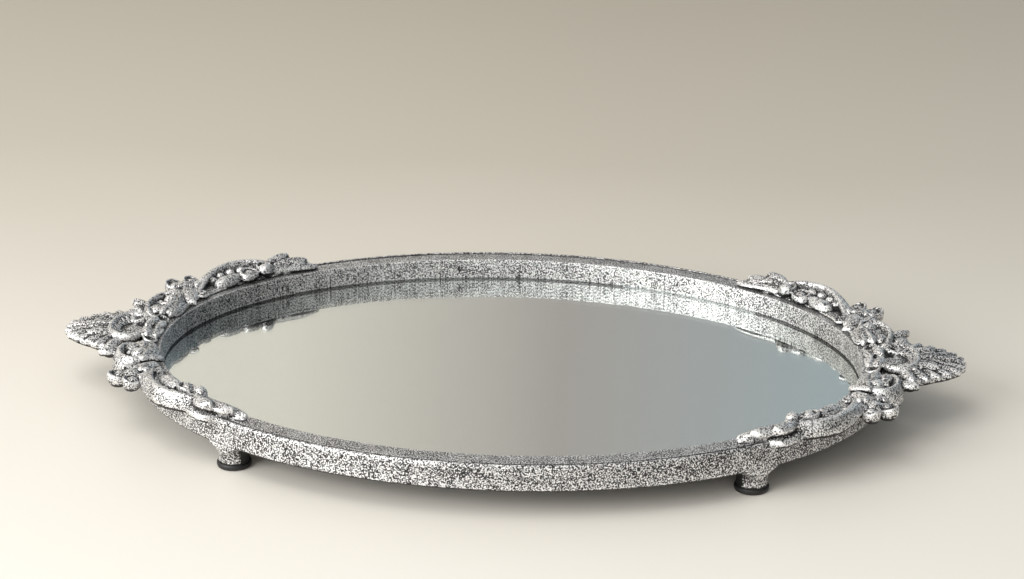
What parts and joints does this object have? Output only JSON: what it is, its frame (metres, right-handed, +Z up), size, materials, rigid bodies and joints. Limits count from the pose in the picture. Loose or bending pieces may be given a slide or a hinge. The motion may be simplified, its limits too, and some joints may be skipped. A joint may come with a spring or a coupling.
{
  "type": "vanity tray",
  "caption": "Oval mirrored vanity tray: speckled silver cast rim with scroll and leaf ornament, a palmette handle at each end, and short padded feet",
  "frame": {"origin": "on the table under the middle of the tray", "axes": "+X along the length towards the right-hand palmette, +Y across the width to the back, +Z up"},
  "size_m": [0.3892, 0.2324, 0.029],
  "materials": {
    "silvered_casting": "black cast resin with a dense speckle of silver paint, heavier on raised edges",
    "clear_glass": "polished float glass",
    "silvering": "mirror coat with a grey painted back",
    "foam_tape": "closed-cell foam",
    "fibreboard": "smooth brown hardboard",
    "felt": "short black felt",
    "pad_rubber": "satin moulded rubber",
    "screw_steel": "zinc-plated"
  },
  "bodies": {
    "root": {"backing_board": "fibreboard", "felt_lining": "felt", "foot_screws": "screw_steel", "left_back_foot": "silvered_casting", "left_back_foot_pad": "pad_rubber", "left_back_leaf_spray": "silvered_casting", "left_back_rim_scroll": "silvered_casting", "left_back_volute": "silvered_casting", "left_cartouche": "silvered_casting", "left_front_foot": "silvered_casting", "left_front_foot_pad": "pad_rubber", "left_front_leaf_spray": "silvered_casting", "left_front_rim_scroll": "silvered_casting", "left_front_volute": "silvered_casting", "left_palmette": "silvered_casting", "mirror_glass": "clear_glass", "mirror_silvering": "silvering", "mounting_tape": "foam_tape", "oval_frame": "silvered_casting", "right_back_foot": "silvered_casting", "right_back_foot_pad": "pad_rubber", "right_back_leaf_spray": "silvered_casting", "right_back_rim_scroll": "silvered_casting", "right_back_volute": "silvered_casting", "right_cartouche": "silvered_casting", "right_front_foot": "silvered_casting", "right_front_foot_pad": "pad_rubber", "right_front_leaf_spray": "silvered_casting", "right_front_rim_scroll": "silvered_casting", "right_front_volute": "silvered_casting", "right_palmette": "silvered_casting"}
  },
  "joints": []
}
